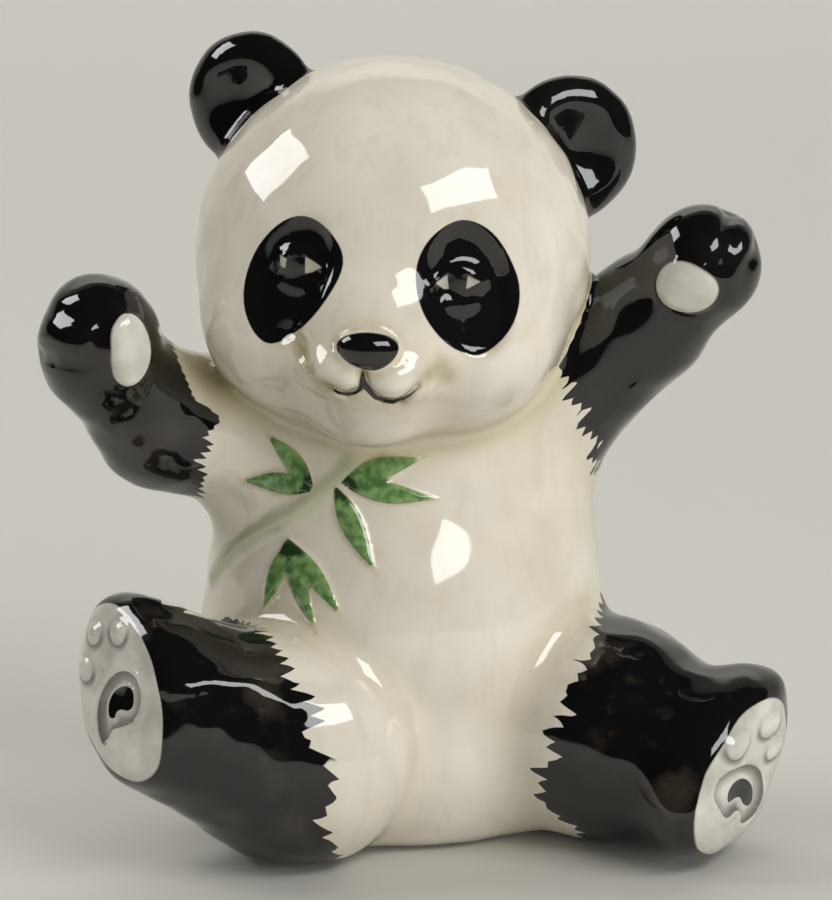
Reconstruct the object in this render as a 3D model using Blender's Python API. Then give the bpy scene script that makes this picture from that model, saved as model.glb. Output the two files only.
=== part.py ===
"""A seated panda cub figurine, slip-cast in earthenware and glazed: one piece, one solid.

The figure is built up as a modeller builds the clay original. Balls and tapered rolls are fused with
fillets, the ears and eye sockets are scooped out, the soles and the seat are flattened, and the paws,
face and bamboo sprig are raised in low relief. Every shape is one signed distance, negative inside.

The clay is placed in figure units, of which the height has 95.6. X runs to the figure's left hand, Z up,
and the figure faces -Y.
"""

import math

import bmesh
import bpy
import numpy as np
from mathutils import Euler, Matrix, Vector

# Driving sizes, in metres
HEIGHT = 0.095
RELIEF_GRID = 0.0007
UNIT = HEIGHT / 95.6

# How much is ground off the underside, so that it stands flat
SEAT_CUT = 0.00006

# The most triangles that the finished solid keeps
MOST_TRIANGLES = 9600

# Glaze over a white body
GLAZE_COLOUR = (0.68, 0.64, 0.56, 1.0)
GLAZE_ROUGHNESS = 0.08
GLAZE_IOR = 1.5

# The point of the ground, in figure units, that becomes the origin
ORIGIN = (-0.31, -4.63)


def turned(x=0.0, y=0.0, z=0.0):
    """A rotation about X, then Y, then Z, in degrees."""
    return Euler([math.radians(a) for a in (x, y, z)]).to_matrix()


class Ball:
    """An egg of clay: an ellipsoid with its own turn."""

    def __init__(self, centre, radii, turn=None):
        self.centre = Vector(centre)
        self.radii = Vector(radii)
        self.turn = turn or Matrix.Identity(3)

    def distance(self, points):
        local = (points - np.array(self.centre)) @ np.array(self.turn)
        radii = np.array(self.radii)
        stretched = np.linalg.norm(local / radii, axis=1)
        slope = np.linalg.norm(local / radii**2, axis=1)
        return stretched * (stretched - 1) / np.maximum(slope, 1e-9)

    def add_to(self, clay):
        place = Matrix.Translation(self.centre) @ self.turn.to_4x4() @ Matrix.Diagonal(self.radii).to_4x4()
        bmesh.ops.create_icosphere(clay, subdivisions=4, radius=1, matrix=place)


class Roll:
    """A tapered roll of clay with round ends."""

    def __init__(self, start, end, start_radius, end_radius):
        self.start = Vector(start)
        self.end = Vector(end)
        self.start_radius = start_radius
        self.end_radius = end_radius

    def distance(self, points):
        start = np.array(self.start)
        way = np.array(self.end) - start
        length = np.linalg.norm(way)
        along = (points - start) @ way / length
        across = np.sqrt(np.maximum(np.sum((points - start) ** 2, axis=1) - along**2, 0))
        sine = (self.start_radius - self.end_radius) / length
        cosine = math.sqrt(1 - sine**2)
        share = np.clip((along - across * sine / cosine) / length, 0, 1)
        near = np.hypot(along - share * length, across)
        return near - (self.start_radius + share * (self.end_radius - self.start_radius))

    def add_to(self, clay):
        way = self.end - self.start
        upright = way.to_track_quat("Z", "Y").to_matrix().to_4x4()
        middle = Matrix.Translation((self.start + self.end) / 2) @ upright
        bmesh.ops.create_cone(
            clay, cap_ends=True, segments=48, radius1=self.start_radius, radius2=self.end_radius,
            depth=way.length, matrix=middle,
        )
        for centre, radius in ((self.start, self.start_radius), (self.end, self.end_radius)):
            bmesh.ops.create_icosphere(clay, subdivisions=4, radius=radius, matrix=Matrix.Translation(centre))


class Foot:
    """An oval foot that ends in a flat sole. Its axes are the way the sole faces, its width and its toes."""

    # How far the oval's middle lies behind the sole, as a share of its thickness
    SUNK = 0.6

    def __init__(self, sole, facing, lean, length, width, thickness):
        outward = Vector(facing).normalized()
        across = outward.cross(Vector((0, 0, 1))).normalized()
        axes = Matrix((outward, across, across.cross(outward))).transposed()
        self.turn = axes @ turned(x=lean)
        self.sole = Vector(sole)
        self.facing = outward
        middle = self.sole - outward * self.SUNK * thickness
        self.ball = Ball(middle, (thickness, width / 2, length / 2), self.turn)

    def distance(self, points):
        return self.ball.distance(points)

    def beyond_sole(self, points):
        return (points - np.array(self.sole)) @ np.array(self.facing)

    def add_to(self, clay):
        self.ball.add_to(clay)


def fuse(one, other, fillet):
    """The union of two distances, with a fillet of about that size where they meet."""
    share = np.clip(0.5 + 0.5 * (other - one) / fillet, 0, 1)
    return other * (1 - share) + one * share - fillet * share * (1 - share)


def scoop(clay, tool, fillet):
    """What is left of the clay once the tool is pressed into it."""
    return -fuse(-clay, tool, fillet)


def step(value, start, end):
    """0 below start and 1 above end, with a smooth step between."""
    share = np.clip((value - start) / (end - start), 0, 1)
    return share * share * (3 - 2 * share)


# Head. The face is laid out in the head's own axes, and then turned and tilted with the head.
HEAD_CENTRE = Vector((-2.7, -2.0, 69.9))
HEAD_RADIUS = 23.4
HEAD_TURN = turned(z=-5) @ turned(y=4)


def on_head(x, y, z):
    """A point given from the head's centre, in the head's own axes."""
    return HEAD_CENTRE + HEAD_TURN @ Vector((x, y, z))


SKULL = Ball(HEAD_CENTRE, (HEAD_RADIUS, 21.8, HEAD_RADIUS), HEAD_TURN)
MUZZLE = Ball(on_head(0, -16.8, -8.6), (8.8, 9.2, 6.4), HEAD_TURN)
BRIDGE = Ball(on_head(0, -13.8, -5.0), (11.2, 11.4, 10.5), HEAD_TURN)
CHIN = Ball(on_head(-0.5, -15.5, -14.0), (7.0, 6.8, 6.0), HEAD_TURN)
CHEEKS = [Ball(on_head(x, -11.5, -8.0), (9.0, 8.5, 8.0), HEAD_TURN) for x in (-11.0, 10.5)]
LIPS = [Ball(on_head(x, -22.4, -9.6), (4.6, 4.4, 3.2), HEAD_TURN) for x in (-3.4, 3.4)]
NOSE = Ball(on_head(-0.1, -25.5, -6.2), (3.7, 2.4, 2.3), HEAD_TURN)
EARS = {
    "right": Ball((-19.4, 3.0, 87.3), (8.2, 3.8, 8.3), turned(z=-25)),
    "left": Ball((18.0, 3.0, 81.6), (8.7, 3.9, 8.8), turned(z=20)),
}

# Trunk
TRUNK = [
    Ball((-1.6, 1.6, 12.0), (24.6, 22.0, 18.0), turned(z=8)),
    Ball((-1.6, 0.5, 27.0), (23.9, 17.5, 21.0)),
    Ball((-1.2, 1.0, 44.0), (22.1, 15.6, 16.0)),
]
BELLY = Ball((-1.2, -3.4, 26.6), (19.5, 18.0, 17.0))

# Arms, from the shoulder to the wrist, and the paws
ARMS = {
    "right": [
        Roll((-19.0, 0.0, 47.8), (-30.0, -6.0, 50.6), 9.7, 7.7),
        Roll((-30.0, -6.0, 50.6), (-36.5, -12.5, 59.0), 7.7, 6.5),
        Ball((-37.0, -14.0, 62.1), (6.9, 7.4, 7.6)),
    ],
    "left": [
        Roll((17.0, 1.0, 53.4), (27.2, -1.0, 61.5), 9.5, 7.0),
        Roll((27.2, -1.0, 61.5), (33.0, -3.5, 68.0), 7.0, 6.1),
        Ball((34.2, -4.0, 69.4), (6.5, 6.4, 6.5)),
    ],
}

# Legs, from the hip to the ankle, and the feet
LEGS = {
    "right": [
        Roll((-7.0, -4.0, 14.8), (-14.0, -17.5, 13.2), 14.2, 13.2),
        Roll((-14.0, -17.5, 13.2), (-27.2, -21.5, 19.4), 13.2, 11.0),
    ],
    "left": [
        Roll((8.0, -1.0, 14.7), (23.0, -9.0, 13.3), 14.2, 12.8),
        Roll((23.0, -9.0, 13.3), (32.0, -15.0, 11.1), 12.8, 10.4),
    ],
}
FEET = {
    "right": Foot((-35.0, -25.2, 23.6), (-0.75, -0.63, 0.2), -42, 23.0, 16.2, 7.0),
    "left": Foot((39.6, -20.0, 11.9), (0.86, -0.50, -0.09), 55, 27.0, 15.4, 7.0),
}


# Fillets where two forms meet
FILLETS = {
    "trunk": 8.0,
    "belly": 4.0,
    "hip": 3.0,
    "along a limb": 3.0,
    "ankle": 4.0,
    "sole edge": 2.0,
    "shoulder": 5.0,
    "neck": 1.5,
    "cheek": 6.0,
    "muzzle": 4.0,
    "bridge": 2.0,
    "lip": 1.5,
    "between the lips": 0.6,
    "eye": 0.8,
    "nose": 0.5,
    "ear": 1.5,
    "ear rim": 1.2,
    "seat edge": 2.0,
}

# How far relief is pressed in or stands out
SOCKET_DEPTH = 0.9
MOUTH_DEPTH = 0.6
FOLD_DEPTH = 0.3
GROOVE_DEPTH = 0.9
PAD_RISE = 0.6
SPRIG_RISE = 0.7

# How wide a pressed line is, and over which distances an edge fades
MOUTH_WIDTH = 0.7
FOLD_WIDTH = 1.2
GROOVE_WIDTH = 1.0
STEM_WIDTH = 1.1
SOCKET_EDGE = (-1.6, 0.6)
PAD_EDGE = (-0.8, 0.4)
LEAF_EDGE = (-0.6, 0.6)

# Relief of the face and the chest fades out between these distances in front of the middle
FACE_FRONT = (12, 16)
CHEST_FRONT = (0, 3)

# Each ear is hollowed by a smaller ball, set forward of its middle
DISH_SHARE = 0.66
DISH_THICKNESS = 2.9
DISH_FORWARD = 4.2


def chain(pieces, points, fillet):
    """The distance to several forms, fused one after another."""
    gap = pieces[0].distance(points)
    for piece in pieces[1:]:
        gap = fuse(gap, piece.distance(points), fillet)
    return gap


def stroke(points, path, width):
    """1 along a path of points, and fading to 0 about a width away from it."""
    near = np.full(len(points), np.inf)
    for start, end in zip(path, path[1:]):
        start, way = np.array(start, float), np.array(end, float) - np.array(start, float)
        share = np.clip((points - start) @ way / (way @ way), 0, 1)
        near = np.minimum(near, np.linalg.norm(points - start - share[:, None] * way, axis=1))
    return np.exp(-((near / width) ** 2))


# Leaves are widest nearer the base, the more so the smaller LEAF_FULLNESS is, and slimmer at both ends the
# larger LEAF_POINT is
LEAF_FULLNESS = 0.8
LEAF_POINT = 1.3


def off_leaf(flat, base, tip, width, bow):
    """How far each point of the front view lies outside a pointed leaf, negative inside it."""
    base, way = np.array(base), np.array(tip) - np.array(base)
    length = np.linalg.norm(way)
    along = (flat - base) @ way / length**2
    bent = bow * np.sin(math.pi * np.clip(along, 0, 1))
    across = np.abs((flat - base) @ np.array([-way[1], way[0]]) / length - bent)
    half = width / 2 * np.sin(math.pi * np.clip(along, 0, 1) ** LEAF_FULLNESS) ** LEAF_POINT
    return across - half + length * np.maximum(np.maximum(-along, along - 1), 0)


# Bamboo sprig, laid on the chest: base and tip of each leaf as (x, z), its width, and how far its middle
# bows to the left of the way from base to tip
LEAVES = [
    ((-12.0, 44.0), (-17.8, 50.1), 2.3, -0.2),
    ((-12.1, 43.7), (-20.9, 44.1), 2.5, -0.35),
    ((-8.9, 44.8), (1.2, 47.9), 2.6, 0.35),
    ((-8.5, 44.6), (2.8, 43.1), 2.4, 0.0),
    ((-9.6, 44.6), (-4.6, 35.0), 2.7, -0.2),
    ((-15.1, 37.4), (-18.3, 29.0), 1.9, 0.0),
    ((-14.9, 37.7), (-11.5, 28.0), 2.2, -0.55),
    ((-14.5, 37.6), (-8.5, 29.9), 2.1, 0.0),
    ((-15.0, 38.0), (-14.5, 33.6), 2.4, 0.0),
]
STEM = [
    (-7.5, -14.0, 46.8),
    (-9.7, -14.0, 44.7),
    (-11.9, -13.9, 42.9),
    (-15.2, -13.0, 40.5),
    (-19.0, -11.0, 38.0),
    (-22.2, -8.1, 35.2),
    (-24.9, -4.2, 31.0),
]

# Face, in the head's own axes: the eye patches, the eyes and the mouth line
PATCHES = [
    Ball((-9.8, -19.6, -0.4), (4.9, 4.0, 7.9), turned(y=14)),
    Ball((10.5, -19.0, 0.0), (5.5, 4.0, 7.9), turned(y=-14)),
]
EYES = [Ball((-9.2, -16.6, 1.6), (3.3, 3.3, 2.9)), Ball((9.3, -16.4, 1.2), (3.3, 3.3, 2.9))]
MOUTH = [
    (-4.4, -10.9), (-2.2, -11.8), (-0.7, -10.9), (-0.4, -8.9),
    (0.4, -11.0), (2.0, -12.3), (3.8, -12.2), (5.8, -10.2),
]
SMILE_FOLDS = [[(-7.6, -7.6), (-6.4, -9.6), (-4.4, -10.9)], [(7.4, -7.8), (7.0, -9.4), (5.8, -10.2)]]

# Grooves between the fingers, and between the fingers and the palm
GROOVES = {
    "right": [
        [(-44.5, -14.0, 66.2), (-42.0, -18.5, 66.3), (-38.0, -20.7, 66.0), (-36.4, -20.9, 66.6)],
        [(-44.0, -15.5, 60.4), (-41.8, -19.8, 60.4), (-38.0, -21.6, 60.2), (-36.6, -21.8, 60.3)],
        [(-36.8, -19.8, 68.0), (-36.0, -20.9, 65.0), (-36.8, -21.6, 62.5), (-36.4, -21.6, 59.6),
         (-34.8, -21.4, 57.6)],
    ],
    "left": [
        [(37.0, -3.5, 75.0), (36.6, -7.5, 74.0), (36.9, -9.8, 71.8), (36.6, -10.4, 70.0)],
        [(40.6, -5.0, 71.5), (39.6, -8.5, 70.0), (38.9, -9.4, 68.4)],
    ],
}
PADS = {
    "right": Ball((-32.8, -19.9, 61.9), (3.3, 2.6, 4.7)),
    "left": Ball((31.9, -9.6, 67.5), (4.1, 2.6, 3.5)),
}


def ear_gap(ear, points):
    """Distance from one ear, its dish pressed in."""
    middle = ear.centre + ear.turn @ Vector((0, -DISH_FORWARD, 0))
    radii = (ear.radii.x * DISH_SHARE, DISH_THICKNESS, ear.radii.z * DISH_SHARE)
    dish = Ball(middle, radii, ear.turn)
    return scoop(ear.distance(points), dish.distance(points), FILLETS["ear rim"])


def head_gap(points):
    """Distance from the head's surface, face relief included."""
    local = (points - np.array(HEAD_CENTRE)) @ np.array(HEAD_TURN)
    gap = chain([SKULL, *CHEEKS], points, FILLETS["cheek"])
    gap = fuse(gap, CHIN.distance(points), FILLETS["muzzle"])
    gap = fuse(gap, MUZZLE.distance(points), FILLETS["muzzle"])
    gap = fuse(gap, BRIDGE.distance(points), FILLETS["bridge"])
    gap = fuse(gap, chain(LIPS, points, FILLETS["between the lips"]), FILLETS["lip"])
    for patch, eye in zip(PATCHES, EYES):
        gap = gap + SOCKET_DEPTH * (1 - step(patch.distance(local), *SOCKET_EDGE))
        gap = fuse(gap, eye.distance(local), FILLETS["eye"])
    front = local[:, [0, 2]]
    lines = MOUTH_DEPTH * stroke(front, MOUTH, MOUTH_WIDTH)
    for fold in SMILE_FOLDS:
        lines = np.maximum(lines, FOLD_DEPTH * stroke(front, fold, FOLD_WIDTH))
    gap = gap + lines * step(-local[:, 1], *FACE_FRONT)
    gap = fuse(gap, NOSE.distance(points), FILLETS["nose"])
    for ear in EARS.values():
        gap = fuse(gap, ear_gap(ear, points), FILLETS["ear"])
    return gap


def leg_gap(side, points):
    """Distance from a leg and its foot, cut flat at the sole."""
    leg = chain(LEGS[side], points, FILLETS["along a limb"])
    leg = fuse(leg, FEET[side].distance(points), FILLETS["ankle"])
    return scoop(leg, -FEET[side].beyond_sole(points), FILLETS["sole edge"])


def arm_gap(side, points):
    """Distance from an arm and its paw, with the grooves between the fingers and the pad of the palm."""
    arm = chain(ARMS[side], points, FILLETS["along a limb"])
    for groove in GROOVES[side]:
        arm = arm + GROOVE_DEPTH * stroke(points, groove, GROOVE_WIDTH)
    return arm - PAD_RISE * (1 - step(PADS[side].distance(points), *PAD_EDGE))


def sprig(points):
    """1 on the bamboo sprig, 0 off it."""
    off = np.min([off_leaf(points[:, [0, 2]], *leaf) for leaf in LEAVES], axis=0)
    leaves = 1 - step(off, *LEAF_EDGE)
    return np.maximum(stroke(points, STEM, STEM_WIDTH), leaves) * step(-points[:, 1], *CHEST_FRONT)


def figure(points):
    """Distance of each point from the whole figure's surface, in figure units."""
    gap = fuse(chain(TRUNK, points, FILLETS["trunk"]), BELLY.distance(points), FILLETS["belly"])
    for side in ("right", "left"):
        gap = fuse(gap, leg_gap(side, points), FILLETS["hip"])
        gap = fuse(gap, arm_gap(side, points), FILLETS["shoulder"])
    gap = gap - SPRIG_RISE * sprig(points)
    gap = fuse(gap, head_gap(points), FILLETS["neck"])
    return scoop(gap, points[:, 2], FILLETS["seat edge"])


# The slope is measured over this reach. No single step towards the surface is longer than LONGEST_STEP,
# and where the slope is shallower than LEAST_SLOPE it counts as that much.
REACH = 0.02
LONGEST_STEP = 0.5
LEAST_SLOPE = 0.5
ROUNDS = 7


def slope_of(points):
    """The direction in which the distance grows, from four small steps at each point."""
    corners = np.array([(1, -1, -1), (-1, -1, 1), (-1, 1, -1), (1, 1, 1)], float)
    slope = sum(np.outer(figure(points + REACH * corner), corner) for corner in corners)
    return slope / (4 * REACH)


def settle(points, rounds):
    """Moves each point onto the figure's surface, by short steps along the slope."""
    for _ in range(rounds):
        slope = slope_of(points)
        steep = np.maximum(np.sum(slope**2, axis=1), LEAST_SLOPE)
        points = points - slope * (np.clip(figure(points), -LONGEST_STEP, LONGEST_STEP) / steep)[:, None]
    return points


def forms():
    """Every ball and roll that adds clay."""
    pieces = [SKULL, MUZZLE, BRIDGE, CHIN, *CHEEKS, *LIPS, NOSE, *TRUNK, BELLY, *EARS.values()]
    for side in ("right", "left"):
        pieces += [*ARMS[side], *LEGS[side], FEET[side]]
    return pieces


def rough_clay():
    """The balls and rolls in one mesh, each a closed body that overlaps its neighbours."""
    clay = bmesh.new()
    for form in forms():
        form.add_to(clay)
    bmesh.ops.scale(clay, vec=(UNIT,) * 3, verts=clay.verts)
    mesh = bpy.data.meshes.new("panda")
    clay.to_mesh(mesh)
    clay.free()
    return mesh


def modified(figurine):
    """A mesh with the object's modifiers applied."""
    graph = bpy.context.evaluated_depsgraph_get()
    mesh = bpy.data.meshes.new_from_object(figurine.evaluated_get(graph))
    figurine.modifiers.clear()
    return mesh


def fuse_clay(figurine):
    """Remeshes the overlapping balls and rolls into one closed skin."""
    remesh = figurine.modifiers.new("fuse the clay", "REMESH")
    remesh.mode = "VOXEL"
    remesh.voxel_size = RELIEF_GRID
    figurine.data = modified(figurine)


def sculpt(mesh):
    """Moves the skin onto the figure's surface, none of it below the ground, and puts the origin in place."""
    points = np.empty(len(mesh.vertices) * 3, np.float32)
    mesh.vertices.foreach_get("co", points)
    points = points.reshape(-1, 3) / UNIT
    points[:, 2] = np.maximum(points[:, 2], 0)
    points = settle(points, ROUNDS) - np.array([*ORIGIN, 0])
    mesh.vertices.foreach_set("co", (points * UNIT).astype(np.float32).ravel())
    mesh.update()


def thin_out(figurine):
    """Keeps as many triangles as are allowed, the most where the surface bends."""
    fewer = figurine.modifiers.new("fewer triangles", "DECIMATE")
    fewer.use_collapse_triangulate = True
    fewer.ratio = MOST_TRIANGLES / (2 * len(figurine.data.polygons))
    figurine.data = modified(figurine)


def grind_seat(mesh):
    """Cuts the underside level, a hair above its lowest point, and closes the cut with flat faces."""
    body = bmesh.new()
    body.from_mesh(mesh)
    every = body.verts[:] + body.edges[:] + body.faces[:]
    bmesh.ops.bisect_plane(body, geom=every, plane_co=(0, 0, SEAT_CUT), plane_no=(0, 0, 1), clear_inner=True)
    bmesh.ops.holes_fill(body, edges=body.edges[:])
    bmesh.ops.translate(body, vec=(0, 0, -SEAT_CUT), verts=body.verts)
    bmesh.ops.triangulate(body, faces=body.faces)
    bmesh.ops.recalc_face_normals(body, faces=body.faces)
    body.to_mesh(mesh)
    body.free()


def glaze_over(figurine):
    """The creamy glaze of the bare body; the painted colours are not part of the solid."""
    glaze = bpy.data.materials.new("glazed earthenware")
    glaze.use_nodes = True
    surface = glaze.node_tree.nodes["Principled BSDF"]
    surface.inputs["Base Color"].default_value = GLAZE_COLOUR
    surface.inputs["Roughness"].default_value = GLAZE_ROUGHNESS
    surface.inputs["IOR"].default_value = GLAZE_IOR
    figurine.data.materials.clear()
    figurine.data.materials.append(glaze)


def build():
    """The whole figurine, as the only object in the scene."""
    for obj in list(bpy.data.objects):
        bpy.data.objects.remove(obj)
    figurine = bpy.data.objects.new("panda", rough_clay())
    bpy.context.scene.collection.objects.link(figurine)
    fuse_clay(figurine)
    sculpt(figurine.data)
    thin_out(figurine)
    grind_seat(figurine.data)
    figurine.data.shade_flat()
    glaze_over(figurine)


build()
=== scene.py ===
# %% [markdown]
# # A glazed panda cub
#
# The real object is a small earthenware figurine. Liquid clay was cast in a plaster mould, the raw cast
# was fired, the black fur and the green bamboo were painted on by hand with a brush, and a clear glaze
# was fired over everything. It is one piece of pottery about 95 mm tall.
#
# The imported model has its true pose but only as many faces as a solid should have. Here the same clay
# forms are laid again on a much finer mesh, the small relief is added, and the paint is put on.

import math

import bmesh
import bpy
import numpy as np
from mathutils import Euler, Matrix, Vector


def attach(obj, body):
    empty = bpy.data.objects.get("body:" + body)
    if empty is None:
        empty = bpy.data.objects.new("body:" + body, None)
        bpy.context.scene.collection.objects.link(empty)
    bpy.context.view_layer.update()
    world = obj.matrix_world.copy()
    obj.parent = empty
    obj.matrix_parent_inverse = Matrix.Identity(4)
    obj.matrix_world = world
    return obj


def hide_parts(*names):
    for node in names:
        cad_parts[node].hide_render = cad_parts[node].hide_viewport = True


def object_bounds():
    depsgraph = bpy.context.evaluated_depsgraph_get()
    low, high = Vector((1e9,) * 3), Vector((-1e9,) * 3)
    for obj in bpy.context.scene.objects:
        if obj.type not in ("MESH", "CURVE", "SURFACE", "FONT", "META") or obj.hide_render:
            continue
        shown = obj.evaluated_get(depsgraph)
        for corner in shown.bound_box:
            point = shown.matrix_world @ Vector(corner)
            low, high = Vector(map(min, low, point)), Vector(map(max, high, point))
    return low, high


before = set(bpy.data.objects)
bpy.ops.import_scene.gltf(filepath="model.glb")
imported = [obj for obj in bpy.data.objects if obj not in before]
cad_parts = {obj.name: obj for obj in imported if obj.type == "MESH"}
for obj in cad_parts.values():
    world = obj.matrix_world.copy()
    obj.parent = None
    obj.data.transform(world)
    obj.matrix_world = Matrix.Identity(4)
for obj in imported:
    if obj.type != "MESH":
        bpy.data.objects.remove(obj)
cad_low, cad_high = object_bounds()
print("Packed model, mm:", [round(1000 * (high - low), 1) for low, high in zip(cad_low, cad_high)])

# %% [markdown]
# ## Figure units
#
# The clay forms are placed in figure units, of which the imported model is 95.6 tall less what was ground
# off its seat. One unit is close to a millimetre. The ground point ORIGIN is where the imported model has
# its own origin.

# %% Figure units
FIGURE_HEIGHT = 95.6
SEAT_CUT = 0.06
UNIT = (cad_high.z - cad_low.z) / (FIGURE_HEIGHT - 2 * SEAT_CUT)
ORIGIN = (-0.31, -4.63)


def metres(x, y, z):
    """A place given in figure units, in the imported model's metres."""
    return Vector((x - ORIGIN[0], y - ORIGIN[1], z - SEAT_CUT)) * UNIT


print("One figure unit is", round(UNIT * 1000, 4), "mm")

# %% [markdown]
# ## Camera, light and table
#
# The photograph looks slightly down, about 13 degrees, through a long lens. Two soft boxes make the
# highlights: a square one at the upper left, a little behind the figurine, and a wide one at the upper
# right, in front. A window, a weak fill from the left and a lamp over the paper behind only give
# brightness: the glaze doesn't mirror them. It doesn't mirror the dim studio either, so black glaze
# turned upwards stays deep, while black glaze turned downwards mirrors the pale table.

# %% Camera
VIEW_ANGLE = math.radians(13)
VIEW_DISTANCE = 650
IMAGE_HEIGHT = 900
IMAGE_MIDDLE = (0, 0, 45.478)
PIXELS_PER_UNIT = 8.35
SENSOR = 36
NEAREST_SEEN = 0.02

eye_way = Vector((0, -math.cos(VIEW_ANGLE), math.sin(VIEW_ANGLE)))
camera = bpy.data.objects.new("camera", bpy.data.cameras.new("camera"))
camera.location = metres(*IMAGE_MIDDLE) + eye_way * VIEW_DISTANCE * UNIT
camera.rotation_euler = (-eye_way).to_track_quat("-Z", "Y").to_euler()
camera.data.sensor_width = SENSOR
camera.data.lens = PIXELS_PER_UNIT * VIEW_DISTANCE * SENSOR / IMAGE_HEIGHT
camera.data.clip_start = NEAREST_SEEN
bpy.context.scene.collection.objects.link(camera)
bpy.context.scene.camera = camera
print("Lens, mm:", round(camera.data.lens, 1))

# %% Soft boxes
# Each: what it looks at, the way to it from there, its distance, width and height in metres, and watts
FIGURINE = metres(0, 0, 40)
WALL = metres(0, 1100, 350)
SOFT_BOXES = {
    "soft box left": (FIGURINE, (-0.76, 0.10, 0.62), 0.60, 0.27, 0.27, 1.35),
    "soft box right": (FIGURINE, (0.56, -0.53, 0.66), 0.60, 0.46, 0.20, 1.65),
    "window": (FIGURINE, (0.72, -0.68, 0.10), 1.2, 1.6, 0.55, 13.8),
    "left fill": (FIGURINE, (-0.93, -0.36, 0.06), 1.0, 0.8, 0.5, 2.0),
    "wall wash": (WALL, (0.0, -0.5, 1.0), 0.9, 1.6, 0.5, 11.0),
}
MIRRORED = ("soft box left", "soft box right")

for name, (aim, way, distance, width, height, watts) in SOFT_BOXES.items():
    light = bpy.data.objects.new(name, bpy.data.lights.new(name, "AREA"))
    light.data.shape = "RECTANGLE"
    light.data.size = width
    light.data.size_y = height
    light.data.energy = watts
    light.location = aim + Vector(way).normalized() * distance
    light.rotation_euler = (aim - light.location).to_track_quat("-Z", "Y").to_euler()
    light.visible_glossy = name in MIRRORED
    bpy.context.scene.collection.objects.link(light)

# The picture keeps plain display tones, so that highlights clip to white as they do on the glaze
bpy.context.scene.view_settings.view_transform = "Standard"
print("Soft boxes:", ", ".join(SOFT_BOXES))

# %% Colours and the dim studio
STUDIO_BRIGHTNESS = 0.34


def linear(colour):
    """A colour written as sRGB hex, as the linear values that shaders take, by the sRGB curve."""
    channels = [int(colour[i : i + 2], 16) / 255 for i in (1, 3, 5)]
    return tuple(c / 12.92 if c <= 0.04045 else ((c + 0.055) / 1.055) ** 2.4 for c in channels) + (1.0,)


world = bpy.data.worlds.new("dim studio")
world.use_nodes = True
world.node_tree.nodes["Background"].inputs["Color"].default_value = linear("#B3B3B2")
world.node_tree.nodes["Background"].inputs["Strength"].default_value = STUDIO_BRIGHTNESS
bpy.context.scene.world = world
# The glaze doesn't mirror the studio, so black stays deep
world.cycles_visibility.glossy = False
print("Studio brightness:", STUDIO_BRIGHTNESS)

# %% [markdown]
# ## A helper for materials
#
# Each material is a small graph. One function adds a node, sets what is given by name, and links what
# is given as another node's output, so that a material reads as a list of steps.

# %% Node helper
def add_node(tree, kind, inputs=None, **settings):
    """Adds a node; inputs maps a socket's name or number to a value, or to the output that feeds it."""
    node = tree.nodes.new(kind)
    for name, value in settings.items():
        setattr(node, name, value)
    for socket, value in (inputs or {}).items():
        if isinstance(value, bpy.types.NodeSocket):
            tree.links.new(value, node.inputs[socket])
        else:
            node.inputs[socket].default_value = value
    return node


def new_material(name):
    """An empty material with its output and a Principled shader."""
    material = bpy.data.materials.new(name)
    material.use_nodes = True
    material.node_tree.nodes.clear()
    output = material.node_tree.nodes.new("ShaderNodeOutputMaterial")
    shader = material.node_tree.nodes.new("ShaderNodeBsdfPrincipled")
    material.node_tree.links.new(shader.outputs[0], output.inputs["Surface"])
    return material, material.node_tree, shader


# %% Paper sweep
# A sheet of uncoated paper lies under the figurine and rises behind it in one bend. It spreads the
# light evenly, so the eye sees no highlight on it, only the figurine's soft shadow.
SWEEP_WIDTH = 3.0
SWEEP_FRONT = -1.2
SWEEP_BEND_AT = 0.5
SWEEP_BEND = 0.6
SWEEP_TOP = 2.0
BEND_STEPS = 24
PAPER_ROUGHNESS = 0.75

profile = [(SWEEP_FRONT, 0.0)]
for i in range(BEND_STEPS + 1):
    angle = math.pi / 2 * i / BEND_STEPS
    profile.append((SWEEP_BEND_AT + SWEEP_BEND * math.sin(angle), SWEEP_BEND * (1 - math.cos(angle))))
profile.append((SWEEP_BEND_AT + SWEEP_BEND, SWEEP_TOP))
sweep_verts = [(x, y, z) for y, z in profile for x in (-SWEEP_WIDTH / 2, SWEEP_WIDTH / 2)]
sweep_faces = [(2 * i, 2 * i + 1, 2 * i + 3, 2 * i + 2) for i in range(len(profile) - 1)]
sweep_mesh = bpy.data.meshes.new("paper sweep")
sweep_mesh.from_pydata(sweep_verts, [], sweep_faces)
sweep_mesh.shade_smooth()
sweep = bpy.data.objects.new("paper_sweep", sweep_mesh)
bpy.context.scene.collection.objects.link(sweep)
paper, tree, shader = new_material("matt pale paper")
shader.inputs["Base Color"].default_value = linear("#C4C2BA")
shader.inputs["Roughness"].default_value = PAPER_ROUGHNESS
sweep_mesh.materials.append(paper)
print("Paper sweep faces:", len(sweep_mesh.polygons))

# %% [markdown]
# ## Clay forms
#
# A modeller starts with balls and rolls of clay. Here each is a formula for the distance to its
# surface, negative inside. Distances can be blended with a fillet, pressed in and raised, and a mesh
# can then be drawn onto the place where the blended distance is zero. That gives soft joins between
# limbs that booleans of separate meshes would leave sharp.

# %% Balls, rolls and feet
def turned(x=0.0, y=0.0, z=0.0):
    """A rotation about X, then Y, then Z, in degrees."""
    return Euler([math.radians(a) for a in (x, y, z)]).to_matrix()


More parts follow.
